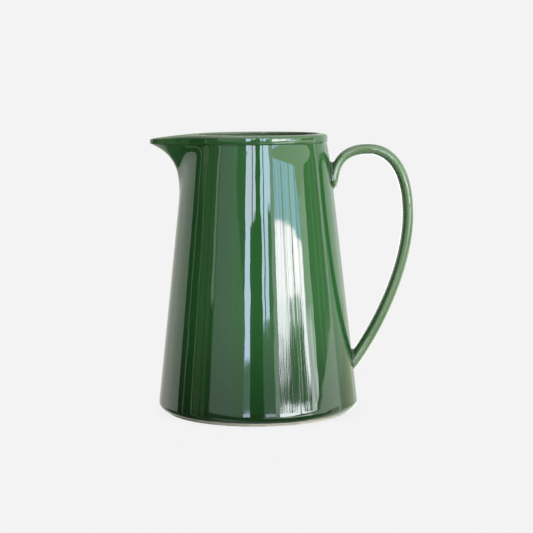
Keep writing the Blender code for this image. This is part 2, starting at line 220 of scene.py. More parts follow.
vessel = {
    "baseRadius": 0.0729,
    "shoulderRadius": 0.0508,
    "wall": 0.0042,
    "neckDepth": 0.0009,
    "neckStart": 0.0200,  # below the rim
    "neckEnd": 0.0040,
    "poolHeight": 0.012,  # how far up from the base the glaze looks deep
    "underside": 0.0017,  # glazed base above the table
    "floor": 0.0050,
    "baseRound": 0.0050,
    "cove": 0.0070,
    "bandHeight": 0.0062,
    "bandHeightAtLip": 0.0038,
    "bandProud": 0.0006,
    "roundUnder": 0.34,  # the rounds and the start of the lean, as shares of the band's height
    "roundOver": 0.32,
    "leanFrom": 0.42,
    "lean": 0.078,  # how much its upper part leans in
    "fullness": 0.55,  # of the bead's curves
    "roundBack": 0.0026,
    "roundIn": 0.0021,
    "creaseFillet": 0.0005,
    "lipThickness": 0.0026,
    "recess": 0.0016,  # how far the base is hollowed inside the foot
    "roundBackMost": 0.6,  # as a share of the band's thickness
    "wipedSteps": 7,  # of the base round, wiped bare with the foot
    "outerLevels": 96,
    "outerCrowding": 1.4,  # above 1 gathers the levels towards the rim
    "innerLevels": 76,
    "innerCrowding": 1.25,
    "turns": 300,
    "crowding": 0.45,  # 0 spaces the turns evenly, more gathers them at the spout
    "unevenness": 0.00008,
    "waves": 38.0,  # noise scale of the unevenness
    "seed": 7,
}

spout = {
    "reach": 0.0240,
    "start": 0.0510,  # below the rim
    "belly": 0.0290,
    "runout": 0.0193,
    "tipReach": 0.0262,
    "tipDrop": 0.0063,
    "tipSlope": 22.5,
    "spread": 16.0,  # degrees round the wall
    "nose": 2.5,
    "falloff": 1.5,
    "lift": 0.0020,
    "droop": 0.0030,
    "steps": 80,
}


def wallLine(z):
    return mix(vessel["baseRadius"], vessel["shoulderRadius"], z / rimHeight)


wallSlope = (vessel["shoulderRadius"] - vessel["baseRadius"]) / rimHeight


def wallRadius(z):
    below = rimHeight - z
    share = (vessel["neckStart"] - below) / (vessel["neckStart"] - vessel["neckEnd"])
    return wallLine(z) - vessel["neckDepth"] * smoothStep(share)


def throatCurve():
    start = Vector((0.0, rimHeight - spout["start"]))
    tip = Vector((spout["tipReach"], rimHeight - spout["tipDrop"]))
    slope = math.radians(spout["tipSlope"])
    runout = Vector((math.cos(slope), math.sin(slope))) * spout["runout"]
    belly = start + Vector((0.0, spout["belly"]))
    return interpolate_bezier(start, belly, tip - runout, tip, spout["steps"])


throat = throatCurve()


def spoutReach(z):
    if z <= throat[0].y:
        return 0.0
    for low, high in zip(throat, throat[1:]):
        if z <= high.y:
            return mix(low.x, high.x, (z - low.y) / (high.y - low.y))
    return high.x + (z - high.y) * (high.x - low.x) / (high.y - low.y)


def arc(centre, radius, start, end, steps):
    angles = [math.radians(mix(start, end, i / steps)) for i in range(steps + 1)]
    return [(centre[0] + radius * math.cos(a), centre[1] + radius * math.sin(a)) for a in angles]


def bezier(start, first, second, end, count):
    curve = interpolate_bezier(Vector(start), Vector(first), Vector(second), Vector(end), count)
    return [tuple(point) for point in curve]


def roundedCorner(before, corner, after, radius, steps):
    corner = Vector(corner)
    toBefore = Vector(before) - corner
    toAfter = Vector(after) - corner
    half = toBefore.angle(toAfter) / 2
    most = min(toBefore.length, toAfter.length) * 0.45  # never past the middle of a side
    run = min(radius / math.tan(half), most)
    start = corner + toBefore.normalized() * run
    end = corner + toAfter.normalized() * run
    bend = 2.0 / 3.0
    curve = interpolate_bezier(start, start.lerp(corner, bend), end.lerp(corner, bend), end, steps + 1)
    return [tuple(point) for point in curve]


# Each point of the outline is (radius, height, reach, thin, pool, bare).


def coated(places, thin=0.0, pool=0.0, bare=0.0):
    return [(r, z, spout["reach"], thin, pool, bare) for r, z in places]


def baseOutline():
    v = vessel
    footIn = footRadius - foot["width"]
    under = v["underside"]
    recess = under + v["recess"]
    points = coated([(footIn * i / 10, recess) for i in range(10)], pool=0.4)
    points += coated(arc((footIn - v["recess"], under), v["recess"], 90.0, 20.0, 4), pool=0.5)
    points += coated([(footIn, under), (footRadius, under)], bare=1.0)
    cornerZ = under + v["baseRound"]
    cornerR = wallLine(cornerZ) - v["baseRound"] * math.hypot(1.0, wallSlope)
    tangent = math.degrees(math.atan2(-wallSlope, 1.0))
    corner = arc((cornerR, cornerZ), v["baseRound"], -90.0, tangent, 16)
    wiped = v["wipedSteps"]
    return points + coated(corner[:wiped], bare=1.0) + coated(corner[wiped:], pool=1.0)


def beadOutline(face, low, top, back, start):
    # The rim band's outer side: a round under it, an upright face, a leaning one and a round over it
    v = vessel
    high = top - low
    lowTurn = low + high * v["roundUnder"]
    leanTurn = low + high * v["leanFrom"]
    highTurn = top - high * v["roundOver"]
    leant = face - (highTurn - leanTurn) * v["lean"]
    rise = (top - highTurn) * v["fullness"]
    pull = 1.0 - v["fullness"]
    below = bezier(start, (face, low), (face, mix(low, lowTurn, pull)), (face, lowTurn), 9)
    overLean = (leant - rise * v["lean"], highTurn + rise)
    above = bezier((leant, highTurn), overLean, (mix(leant, back, pull), top), (back, top), 15)
    upright = [(face, mix(lowTurn, leanTurn, part)) for part in (0.5, 1.0)]
    leaning = [(mix(face, leant, part), mix(leanTurn, highTurn, part)) for part in (0.15, 0.4, 0.7)]
    return below[1:] + upright + leaning + above


def outline(share):
    # From the middle of the underside, out, up and back inside; share is 0 on the plain wall and 1 at
    # the middle of the spout.
    v = vessel

    def outer(z):
        return wallRadius(z) + spoutReach(z) * share

    def inner(z):
        return wallRadius(z) - v["wall"] + spoutReach(z - spout["lift"]) * share

    points = baseOutline()
    start = points[-1][1]
    top = rimHeight - spout["droop"] * share
    low = top - mix(v["bandHeight"], v["bandHeightAtLip"], share)
    stop = low - v["creaseFillet"]
    for i in range(1, v["outerLevels"] + 1):
        z = mix(start, stop, 1.0 - (1.0 - i / v["outerLevels"]) ** v["outerCrowding"])
        pool = smoothStep(1.0 - (z - start) / v["poolHeight"])
        points.append((outer(z), z, max(spoutReach(z), 1e-5), 0.0, pool, 0.0))
    face = outer(low) + v["bandProud"]
    crest = min(inner(top), face - v["lipThickness"])
    back = face - min(v["roundBack"], (face - crest) * v["roundBackMost"])
    fillet = roundedCorner((outer(stop), stop), (outer(low), low), (face, low), v["creaseFillet"], 4)
    bead = beadOutline(face, low, top, back, fillet[-1])
    corner = roundedCorner((back, top), (crest, top), (inner(low), low), v["roundIn"], 10)
    edge = len(bead) - 8  # the glaze breaks over the last points of the bead
    points += coated(fillet, pool=1.0) + coated(bead[:edge], thin=0.35)
    points += coated(bead[edge:], thin=0.7) + coated(corner, thin=1.0)

    floorTop = v["underside"] + v["floor"]
    coveTop = floorTop + v["cove"]
    coveR = wallLine(coveTop) - v["wall"] - v["cove"]
    for i in range(v["innerLevels"]):
        z = mix(low, coveTop, (i / v["innerLevels"]) ** v["innerCrowding"])
        points.append((inner(z), z, max(spoutReach(z - spout["lift"]), 1e-5), 0.0, 0.0, 0.0))
    points += coated(arc((coveR, coveTop), v["cove"], 0.0, -90.0, 14), pool=0.7)
    points += coated([(coveR * (1.0 - i / 12), floorTop) for i in range(1, 13)], pool=0.3)
    return points


def turnedTree():
    # Turns a profile round the vessel's axis. Each point lies between its plain place and its place at
    # the middle of the spout, by how near the spout it is.
    tree, given, result = grouped(
        "turned_on_wheel",
        [
            ("Profile", "NodeSocketGeometry", None),
            ("Turns", "NodeSocketInt", 300),
            ("Levels", "NodeSocketInt", 100),
            ("Axis X", "NodeSocketFloat", 0.0),
            ("Crowding", "NodeSocketFloat", 0.0),
            ("Spread", "NodeSocketFloat", 16.0),
            ("Nose", "NodeSocketFloat", 2.5),
            ("Falloff", "NodeSocketFloat", 1.5),
            ("Reach", "NodeSocketFloat", 0.024),
            ("Unevenness", "NodeSocketFloat", 0.0),
            ("Seed", "NodeSocketInt", 0),
            ("Glaze", "NodeSocketMaterial", None),
        ],
        [("Shell", "NodeSocketGeometry")],
    )
    grid, column, row = numberedGrid(tree, calc(tree, "ADD", given["Turns"], 1.0), given["Levels"])

    def sampled(name, kind):
        asked = addNode(tree, "GeometryNodeInputNamedAttribute", {"Name": name}, data_type=kind)
        profile = {"Geometry": given["Profile"]}
        sample = addNode(tree, "GeometryNodeSampleIndex", profile, data_type=kind)
        feed(tree, asked.outputs["Attribute"], sample.inputs["Value"])
        feed(tree, row, sample.inputs["Index"])
        return sample.outputs["Value"]

    plain = sampled("plainPlace", "FLOAT_VECTOR")
    atLip = sampled("lipPlace", "FLOAT_VECTOR")
    reach = sampled("reach", "FLOAT")

    # -1 to 1 from one side of the handle round by the spout (0) to the other side
    halfTurn = calc(tree, "DIVIDE", given["Turns"], 2.0)
    turn = calc(tree, "SUBTRACT", calc(tree, "DIVIDE", column, halfTurn), 1.0)
    cubed = calc(tree, "MULTIPLY", calc(tree, "MULTIPLY", turn, turn), turn)
    crowded = addNode(tree, "ShaderNodeMix", {0: given["Crowding"], 2: turn, 3: cubed}).outputs[0]
    away = calc(tree, "ABSOLUTE", calc(tree, "MULTIPLY", crowded, 180.0))
    angle = calc(tree, "MULTIPLY", calc(tree, "ADD", crowded, 1.0), math.pi)

    rounded = calc(tree, "SUBTRACT", diagonal(tree, away, given["Nose"]), given["Nose"])
    narrowed = calc(tree, "POWER", calc(tree, "DIVIDE", reach, given["Reach"]), 1.0 / 3.0)
    spread = calc(tree, "MULTIPLY", given["Spread"], narrowed)
    fall = calc(tree, "POWER", calc(tree, "DIVIDE", rounded, spread), given["Falloff"])
    share = calc(tree, "EXPONENT", calc(tree, "MULTIPLY", fall, -1.0))
    place = addNode(tree, "ShaderNodeMix", data_type="VECTOR")
    feed(tree, share, place.inputs[0])
    feed(tree, plain, place.inputs[4])
    feed(tree, atLip, place.inputs[5])
    split = addNode(tree, "ShaderNodeSeparateXYZ", {0: place.outputs[1]})
    radius, height = split.outputs["X"], split.outputs["Z"]

    # A hand-finished wall is never quite round: two sizes of slow waves, none at the axis
    cosine, sine = calc(tree, "COSINE", angle), calc(tree, "SINE", angle)
    across = [calc(tree, "MULTIPLY", radius, side) for side in (cosine, sine)]
    onWall = combined(tree, *across, height)
    waves = addNode(
        tree,
        "ShaderNodeTexNoise",
        {"Vector": onWall, "W": given["Seed"], "Scale": vessel["waves"], "Detail": 2.0, "Roughness": 0.45},
        noise_dimensions="4D",
    ).outputs[0]
    lift = calc(tree, "MULTIPLY", calc(tree, "SUBTRACT", waves, 0.5), given["Unevenness"])
    lift = calc(tree, "MULTIPLY", lift, ramp(tree, radius, 0.0, 0.02))
    radius = calc(tree, "ADD", radius, lift)

    x = calc(tree, "MULTIPLY_ADD", radius, cosine, given["Axis X"])
    moved = combined(tree, x, calc(tree, "MULTIPLY", radius, sine), height)
    shell = addNode(tree, "GeometryNodeSetPosition", {"Geometry": grid, "Position": moved}).outputs[0]
    for name in ("thin", "pool", "bare"):
        shell = stored(tree, shell, name, sampled(name, "FLOAT"))
    closedAndGlazed(tree, shell, given["Glaze"], result["Shell"])
    return tree


wheelTree = turnedTree()


def turned(name, plain, atLip, material, sizes):
    attributes = {
        "plainPlace": ("FLOAT_VECTOR", [(p[0], 0.0, p[1]) for p in plain]),
        "lipPlace": ("FLOAT_VECTOR", [(p[0], 0.0, p[1]) for p in atLip]),
        "reach": ("FLOAT", [p[2] for p in atLip]),
        "thin": ("FLOAT", [p[3] for p in plain]),
        "pool": ("FLOAT", [p[4] for p in plain]),
        "bare": ("FLOAT", [p[5] for p in plain]),
    }
    values = {
        "Turns": sizes["turns"],
        "Levels": len(plain),
        "Axis X": axisX,
        "Crowding": sizes["crowding"],
        "Spread": spout["spread"],
        "Nose": spout["nose"],
        "Falloff": spout["falloff"],
        "Reach": spout["reach"],
        "Unevenness": sizes["unevenness"],
        "Seed": sizes["seed"],
        "Glaze": material,
    }
    points = [(p[0], 0.0, p[1]) for p in plain]
    return shapedBy(name, wheelTree, points, attributes, values)


def makeVessel(glaze):
    piece = turned("glazed_vessel", outline(0.0), outline(1.0), glaze, vessel)
    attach(piece, "root")
    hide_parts("body_wall", "spout", "rim_band", "floor_disc")
    return piece


foot = {
    "width": 0.0060,
    "height": 0.0019,  # runs up into the base
    "round": 0.0004,
    "roundHidden": 0.00005,  # on the edges inside the base
    "turns": 240,
    "crowding": 0.0,
    "unevenness": 0.00012,
    "seed": 3,
}


def makeFoot(clay):
    inside = footRadius - foot["width"]
    corners = [(footRadius, foot["height"]), (inside, foot["height"]), (inside, 0.0), (footRadius, 0.0)]
    rounds = [foot["roundHidden"], foot["roundHidden"], foot["round"], foot["round"]]
    points = []
    for i, corner in enumerate(corners):
        points += roundedCorner(corners[i - 1], corner, corners[(i + 1) % 4], rounds[i], 5)
    points.append(points[0])
    profile = [(r, z, spout["reach"], 0.0, 0.0, 1.0) for r, z in points]
    piece = turned("foot_rim", profile, profile, clay, foot)
    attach(piece, "root")
    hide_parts("foot_ring")
    return piece


# Handle

handle = {
    "width": 0.0160,
    "upperRootWidth": 0.0212,
    "lowerRootWidth": 0.0200,
    "flare": 0.0300,
    "thickRoot": 0.0069,
    "thickArch": 0.0078,
    "thickFoot": 0.0086,
    "archShare": 0.25,
    "footShare": 0.5,
    "squareness": 2.4,
    "tailDrop": 0.0400,
    "tailSink": 0.0003,
    "tailRun": 0.0200,
    "tailRound": 0.0080,
    "tailTip": 0.22,
    "archDrop": 0.0116,
    "archOut": 0.0301,
    "archRunIn": 0.0165,
    "archRunOut": 0.0195,
    "backDrop": 0.0587,
    "backOut": 0.0590,
    "backRunUp": 0.0280,
    "backRunDown": 0.0420,
    "lowHeight": 0.0297,
    "lowSink": 0.0041,
    "lowSlope": 39.0,
    "lowRun": 0.0277,
    "buried": 0.0024,  # how deep its ends go into the wall
    "gathering": 0.6,  # how much its stations gather towards both ends
    "edgeSharpness": 5.0,  # how narrow the thin glaze on its edges is
    "steps": 61,
    "stations": 230,
    "sides": 56,
    "unevenness": 0.00010,
    "waves": 45.0,
    "seed": 11,
}


def strapPath():
    h = handle
    rim = wallRadius(rimHeight)
    tailZ = rimHeight - h["tailDrop"]
    tail = Vector((wallRadius(tailZ) - h["tailSink"], tailZ))
    arch = Vector((rim + h["archOut"], rimHeight - h["archDrop"]))
    back = Vector((rim + h["backOut"], rimHeight - h["backDrop"]))
    low = Vector((wallRadius(h["lowHeight"]) - h["lowSink"], h["lowHeight"]))
    slope = math.radians(h["lowSlope"])
    inward = Vector((-math.sin(slope), -math.cos(slope)))
    up = Vector((0.0, 1.0))
    across = Vector((1.0, 0.0))
    curves = [
        (tail, tail + up * h["tailRun"], arch - across * h["archRunIn"], arch),
        (arch, arch + across * h["archRunOut"], back + up * h["backRunUp"], back),
        (back, back - up * h["backRunDown"], low - inward * h["lowRun"], low),
    ]
    points = []
    for curve in curves:
        points += interpolate_bezier(*curve, h["steps"])[:-1]
    return [(axisX + p.x, 0.0, p.y) for p in points + [low]]


def strapTree():
    # A rounded oblong carried along the path, wider at its roots and thicker towards its foot.
    sizes = [
        "width", "upperRootWidth", "lowerRootWidth", "flare", "thickRoot", "thickArch", "thickFoot",
        "archShare", "footShare", "squareness", "tailRound", "tailTip", "buried", "gathering",
        "edgeSharpness", "unevenness",
    ]
    sockets = [("Path", "NodeSocketGeometry", None)]
    sockets += [(name, "NodeSocketFloat", handle[name]) for name in sizes]
    sockets += [(name, "NodeSocketInt", handle[name]) for name in ("stations", "sides", "seed")]
    sockets += [("Axis X", "NodeSocketFloat", 0.0), ("Wall at table", "NodeSocketFloat", 0.07)]
    sockets += [("Wall slope", "NodeSocketFloat", 0.0), ("Glaze", "NodeSocketMaterial", None)]
    tree, given, result = grouped("pulled_strap", sockets, [("Strap", "NodeSocketGeometry")])
    path = addNode(tree, "GeometryNodeMeshToCurve", {"Mesh": given["Path"]}).outputs[0]
    length = addNode(tree, "GeometryNodeCurveLength", {"Curve": path}).outputs[0]
    along = calc(tree, "ADD", given["stations"], 1.0)
    around = calc(tree, "ADD", given["sides"], 1.0)
    grid, station, side = numberedGrid(tree, along, around)

    # Stations gather towards both ends
    even = calc(tree, "DIVIDE", station, given["stations"])
    swing = calc(tree, "SINE", calc(tree, "MULTIPLY", even, 2 * math.pi))
    gathered = calc(tree, "DIVIDE", given["gathering"], -2 * math.pi)
    share = calc(tree, "MULTIPLY_ADD", swing, gathered, even)
    run = calc(tree, "MULTIPLY", share, length)
    sample = addNode(tree, "GeometryNodeSampleCurve", {"Curves": path}, mode="LENGTH")
    feed(tree, run, sample.inputs["Length"])
    centre, tangent = sample.outputs["Position"], sample.outputs["Tangent"]
    outward = vectorCalc(tree, "CROSS_PRODUCT", tangent, (0.0, 1.0, 0.0))

    thick = ramp(tree, share, 0.0, given["archShare"], given["thickRoot"], given["thickArch"])
    extra = calc(tree, "SUBTRACT", given["thickFoot"], given["thickArch"])
    thick = calc(tree, "MULTIPLY_ADD", ramp(tree, share, given["footShare"], 1.0), extra, thick)
    left = calc(tree, "SUBTRACT", length, run)
    upper = ramp(tree, run, 0.0, given["flare"], given["upperRootWidth"], given["width"])
    lower = ramp(tree, left, 0.0, given["flare"], given["lowerRootWidth"], given["width"])
    width = calc(tree, "SUBTRACT", calc(tree, "ADD", upper, lower), given["width"])
    rest = calc(tree, "MINIMUM", calc(tree, "DIVIDE", run, given["tailRound"]), 1.0)
    rest = calc(tree, "SUBTRACT", 1.0, rest)
    rest = calc(tree, "SQRT", calc(tree, "SUBTRACT", 1.0, calc(tree, "MULTIPLY", rest, rest)))
    taper = addNode(tree, "ShaderNodeMix", {0: rest, 2: given["tailTip"], 3: 1.0}).outputs[0]
    pastStart = calc(tree, "GREATER_THAN", station, 0.5)
    beforeEnd = calc(tree, "LESS_THAN", even, 0.9999)
    taper = calc(tree, "MULTIPLY", taper, calc(tree, "MULTIPLY", pastStart, beforeEnd))
    taper = calc(tree, "MULTIPLY", taper, 0.5)

    turn = calc(tree, "MULTIPLY", calc(tree, "DIVIDE", side, given["sides"]), 2 * math.pi)
    power = calc(tree, "DIVIDE", 2.0, given["squareness"])

    def squared(function):
        wave = calc(tree, function, turn)
        size = calc(tree, "POWER", calc(tree, "ABSOLUTE", wave), power)
        return calc(tree, "MULTIPLY", calc(tree, "SIGN", wave), size)

    out = calc(tree, "MULTIPLY", squared("COSINE"), calc(tree, "MULTIPLY", thick, taper))
    across = calc(tree, "MULTIPLY", squared("SINE"), calc(tree, "MULTIPLY", width, taper))
    waves = addNode(
        tree,
        "ShaderNodeTexNoise",
        {"Vector": centre, "W": given["seed"], "Scale": handle["waves"], "Detail": 1.0},
        noise_dimensions="4D",
    ).outputs[0]
    out = calc(tree, "MULTIPLY_ADD", calc(tree, "SUBTRACT", waves, 0.5), given["unevenness"], out)
    place = vectorCalc(tree, "ADD", centre, scaled(tree, outward, out))
    place = vectorCalc(tree, "ADD", place, scaled(tree, (0.0, 1.0, 0.0), across))

    # What goes into the wall is pressed flat just under the wall's face
    parts = addNode(tree, "ShaderNodeSeparateXYZ", {0: place})
    x = calc(tree, "SUBTRACT", parts.outputs["X"], given["Axis X"])
    y, z = parts.outputs["Y"], parts.outputs["Z"]
    distance = diagonal(tree, x, y)
    limit = calc(tree, "MULTIPLY_ADD", z, given["Wall slope"], given["Wall at table"])
    limit = calc(tree, "SUBTRACT", limit, given["buried"])
    push = calc(tree, "MAXIMUM", 1.0, calc(tree, "DIVIDE", limit, distance))
    x = calc(tree, "MULTIPLY_ADD", x, push, given["Axis X"])
    y = calc(tree, "MULTIPLY", y, push)
    moved = {"Geometry": grid, "Position": combined(tree, x, y, z)}
    strap = addNode(tree, "GeometryNodeSetPosition", moved).outputs[0]
    # the strap's two narrow sides, the front one among them, take the handle's lighter edge colour: partly
    # thinner glaze over the edges, partly painted light
    edge = calc(tree, "POWER", calc(tree, "ABSOLUTE", calc(tree, "SINE", turn)), given["edgeSharpness"])
    closedAndGlazed(tree, stored(tree, strap, "thin", edge), given["Glaze"], result["Strap"])
    return tree


def makeHandle(glaze):
    values = dict(handle)
    values.update({
        "Axis X": axisX,
        "Wall at table": vessel["baseRadius"],
        "Wall slope": wallSlope,
        "Glaze": glaze,
    })
    piece = shapedBy("strap_handle", strapTree(), strapPath(), {}, values)
    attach(piece, "root")
    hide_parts("handle")
    return piece


# Joints: glaze and slip drawn into the corner between the strap and the wall

joint = {
    "radius": 0.0015,
    "radiusLow": 0.0014,
    "stations": 160,
    "steps": 12,
    "sink": 0.0007,
    "search": 60,
    "overlap": 0.00006,  # stands this little over the faces that it joins
    "searchFrom": 1.4,  # in heights of the coil
    "edgeSharpness": 6,
    "flattest": 0.35,  # keeps its back near where the faces meet at a wide angle
}


def wallPoint(turn, reach, middle, lift):
    z = middle + reach * math.cos(turn)
    radius = wallRadius(z) + lift * math.hypot(1.0, wallSlope)
    angle = reach * math.sin(turn) / radius
    return Vector((axisX + radius * math.cos(angle), radius * math.sin(angle), z))


def wallNormal(point):
    flat = Vector((point.x - axisX, point.y, 0.0)).normalized()
    return (flat - Vector((0.0, 0.0, wallSlope))).normalized()


def makeJoint(name, node, strap, radius, glaze):
    low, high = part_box(node)
    middle = (low.z + high.z) / 2
    places = [vertex.co for vertex in strap.data.vertices]
    tree = BVHTree.FromPolygons(places, [face.vertices for face in strap.data.polygons])
    bm = bmesh.new()
    amount = bm.verts.layers.float.new("pool")
    loops = []
    for i in range(joint["stations"]):
        turn = 2 * math.pi * i / joint["stations"]
        reach = (high.z - low.z) * joint["searchFrom"]
        for _ in range(joint["search"]):
            reach -= tree.find_nearest(wallPoint(turn, reach, middle, radius))[3] - radius
        centre = wallPoint(turn, reach, middle, radius)
        onStrap = tree.find_nearest(centre)[0]
        start = (onStrap - centre).normalized()
        end = -wallNormal(centre)
        loop = []
        for step in range(joint["steps"] + 1):
            share = step / joint["steps"]
            direction = start.slerp(end, share)
            edge = abs(2 * share - 1) ** joint["edgeSharpness"]
            place = centre + direction * (radius + joint["overlap"] * (edge * 2 - 1))
            vert = bm.verts.new(place)
            vert[amount] = 1.0 - abs(2 * share - 1) ** 2
            loop.append(vert)
        corner = (start + end).normalized()
        depth = radius / max(corner.dot(start), joint["flattest"]) + joint["sink"]
        behind = bm.verts.new(centre + corner * depth)
        behind[amount] = 1.0
        loop.append(behind)
        loops.append(loop)
    for first, second in zip(loops, loops[1:] + loops[:1]):
        for i in range(len(first)):
            j = (i + 1) % len(first)
            bm.faces.new((first[i], first[j], second[j], second[i]))
    mesh = bpy.data.meshes.new(name)
    bm.to_mesh(mesh)
    bm.free()
    mesh.materials.append(glaze)
    piece = finished(name, mesh)
    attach(piece, "root")
    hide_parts(node)
    return piece


# Finishes

patterns = {  # noise scales, per metre
    "clouds": 55.0,
    "fineClouds": 900.0,
    "runs": 120.0,
    "peel": 520.0,
    "pinholes": 130.0,
    "scorching": 60.0,
    "grain": 2600.0,
    "grog": 1100.0,
}


def depthGroup():
    # How the coat's colour goes: thin on edges, deep in corners, darker towards the base, with slow
    # clouds.
    colours = ("Thin", "Body", "Deep")
    sockets = [(name, "NodeSocketColor", (0.5, 0.5, 0.5, 1.0)) for name in colours]
    sockets += [("Edge", "NodeSocketFloat", 0.0), ("Pool", "NodeSocketFloat", 0.0)]
    sockets += [("Darkening height", "NodeSocketFloat", 0.09), ("Darkening amount", "NodeSocketFloat", 0.7)]
    sockets += [("Cloud amount", "NodeSocketFloat", 0.15)]
    outputs = [("Color", "NodeSocketColor")]
    tree, given, result = grouped("glaze_depth", sockets, outputs, "ShaderNodeTree")
    place = addNode(tree, "ShaderNodeTexCoord").outputs["Object"]
    height = addNode(tree, "ShaderNodeSeparateXYZ", {0: place}).outputs["Z"]
    clouds = noiseValue(tree, drawnOut(tree, place, 0.25), patterns["clouds"], 3.0)
    fine = noiseValue(tree, place, patterns["fineClouds"], 2.0)
    clouds = calc(tree, "ADD", calc(tree, "SUBTRACT", clouds, 0.5), calc(tree, "MULTIPLY", fine, 0.15))
    # darker towards the base over its lower part
    run = ramp(tree, height, given["Darkening height"], 0.004, 0.0, given["Darkening amount"])
    deep = calc(tree, "MULTIPLY_ADD", clouds, given["Cloud amount"], run)
    deep = calc(tree, "MAXIMUM", deep, given["Pool"])
    broken = calc(tree, "MULTIPLY_ADD", clouds, 0.6, given["Edge"])
    broken = ramp(tree, broken, 0.25, 1.0)
    colour = blendColour(tree, deep, given["Body"], given["Deep"])
    colour = blendColour(tree, broken, colour, given["Thin"])
    feed(tree, colour, result["Color"])
    return tree


def rippleGroup():
    # The fired coat's own surface: slow runs, orange peel and a few pinholes.
    sizes = {"Runs": 1.0, "Peel": 1.0, "Pinholes": 1.0, "Smooth": 0.015, "Dull": 0.035}
    sockets = [(name, "NodeSocketFloat", value) for name, value in sizes.items()]
    outputs = [("Height", "NodeSocketFloat"), ("Roughness", "NodeSocketFloat")]
    tree, given, result = grouped("glaze_ripple", sockets, outputs, "ShaderNodeTree")
    place = addNode(tree, "ShaderNodeTexCoord").outputs["Object"]
    runs = noiseValue(tree, drawnOut(tree, place, 0.3), patterns["runs"], 1.0)
    peel = noiseValue(tree, place, patterns["peel"], 1.0)
    cells = addNode(tree, "ShaderNodeTexVoronoi", {"Vector": place, "Scale": patterns["pinholes"]})
    spots = ramp(tree, cells.outputs["Distance"], 0.0, 0.045, 1.0, 0.0)
    height = calc(tree, "MULTIPLY", runs, given["Runs"])
    height = calc(tree, "MULTIPLY_ADD", peel, given["Peel"], height)
    height = calc(tree, "SUBTRACT", height, calc(tree, "MULTIPLY", spots, given["Pinholes"]))
    feed(tree, height, result["Height"])
    dull = calc(tree, "MAXIMUM", ramp(tree, runs, 0.35, 0.75), calc(tree, "MULTIPLY", spots, 2.0))
    feed(tree, blendValue(tree, dull, given["Smooth"], given["Dull"]), result["Roughness"])
    return tree


def clayGroup():
    # Fired body: pale and dark grog, sanded faces and slight scorching.
    sockets = [("Pale", "NodeSocketColor", (0.6, 0.6, 0.5, 1.0))]
    sockets += [("Dark", "NodeSocketColor", (0.3, 0.25, 0.2, 1.0))]
    outputs = [("Color", "NodeSocketColor")]
    outputs += [(name, "NodeSocketFloat") for name in ("Height", "Roughness")]
    tree, given, result = grouped("clay_grain", sockets, outputs, "ShaderNodeTree")
    place = addNode(tree, "ShaderNodeTexCoord").outputs["Object"]
    clouds = noiseValue(tree, place, patterns["scorching"], 4.0)
    grain = noiseValue(tree, place, patterns["grain"], 3.0)
    cells = addNode(tree, "ShaderNodeTexVoronoi", {"Vector": place, "Scale": patterns["grog"]})
    grog = cells.outputs["Distance"]
    specks = ramp(tree, grog, 0.05, 0.22, 0.8, 0.0)
    shade = calc(tree, "MAXIMUM", calc(tree, "MULTIPLY", ramp(tree, clouds, 0.45, 0.8), 0.45), specks)
    feed(tree, blendColour(tree, shade, given["Pale"], given["Dark"]), result["Color"])
    feed(tree, calc(tree, "MULTIPLY_ADD", specks, -0.5, grain), result["Height"])
    feed(tree, ramp(tree, grain, 0.2, 0.8, 0.68, 0.9), result["Roughness"])
    return tree


glazeDepth = depthGroup()
glazeRipple = rippleGroup()
clayGrain = clayGroup()

glazes = {
    "thin": (0.150, 0.215, 0.125, 1.0),
    "body": (0.028, 0.128, 0.033, 1.0),
    "deep": (0.010, 0.042, 0.012, 1.0),
    # painted light: the handle's copy of the green glaze is lighter in its body and on its edges, standing
    # in for light from above
    "handleThinPaintedLight": (0.185, 0.290, 0.145, 1.0),
    "handleBodyPaintedLight": (0.070, 0.180, 0.070, 1.0),
    "clayPale": (0.800, 0.770, 0.670, 1.0),
    "clayDark": (0.450, 0.380, 0.280, 1.0),
    "bump": 0.00006,
    "clayBump": 0.00008,
    "ripple": {"Runs": 1.0, "Peel": 0.012, "Pinholes": 0.10},
    "ior": 1.52,
}


def newMaterial(name):
    material = bpy.data.materials.new(name)
    material.use_nodes = True
    return material, material.node_tree, material.node_tree.nodes["Principled BSDF"]


def clayFinish(tree):
    colours = {"Pale": glazes["clayPale"], "Dark": glazes["clayDark"]}
    clay = addNode(tree, "ShaderNodeGroup", node_tree=clayGrain)
    for socketName, value in colours.items():
        feed(tree, value, clay.inputs[socketName])
    return clay.outputs


def glazeMaterial(name, thin, body, baseDarkening, bareFoot):
    material, tree, shader = newMaterial(name)
    edge = addNode(tree, "ShaderNodeAttribute", attribute_name="thin").outputs["Fac"]
    pool = addNode(tree, "ShaderNodeAttribute", attribute_name="pool").outputs["Fac"]
    depth = addNode(tree, "ShaderNodeGroup", node_tree=glazeDepth)
    amounts = {
        "Thin": thin, "Body": body, "Deep": glazes["deep"],
        "Edge": edge, "Pool": pool, "Darkening amount": baseDarkening,
    }
    for socketName, value in amounts.items():
        feed(tree, value, depth.inputs[socketName])
    ripple = addNode(tree, "ShaderNodeGroup", node_tree=glazeRipple)
    for socketName, value in glazes["ripple"].items():
        feed(tree, value, ripple.inputs[socketName])
    colour, gloss = depth.outputs["Color"], ripple.outputs["Roughness"]
    if bareFoot:
        bare = addNode(tree, "ShaderNodeAttribute", attribute_name="bare").outputs["Fac"]
        bare = ramp(tree, bare, 0.3, 0.7)
        clay = clayFinish(tree)
        colour = blendColour(tree, bare, colour, clay["Color"])
        gloss = blendValue(tree, bare, gloss, clay["Roughness"])
    skin = {"Height": ripple.outputs["Height"], "Distance": glazes["bump"]}
    bump = addNode(tree, "ShaderNodeBump", skin)
    feed(tree, colour, shader.inputs["Base Color"])
    feed(tree, gloss, shader.inputs["Roughness"])
    feed(tree, bump.outputs["Normal"], shader.inputs["Normal"])
    shader.inputs["IOR"].default_value = glazes["ior"]
    return material


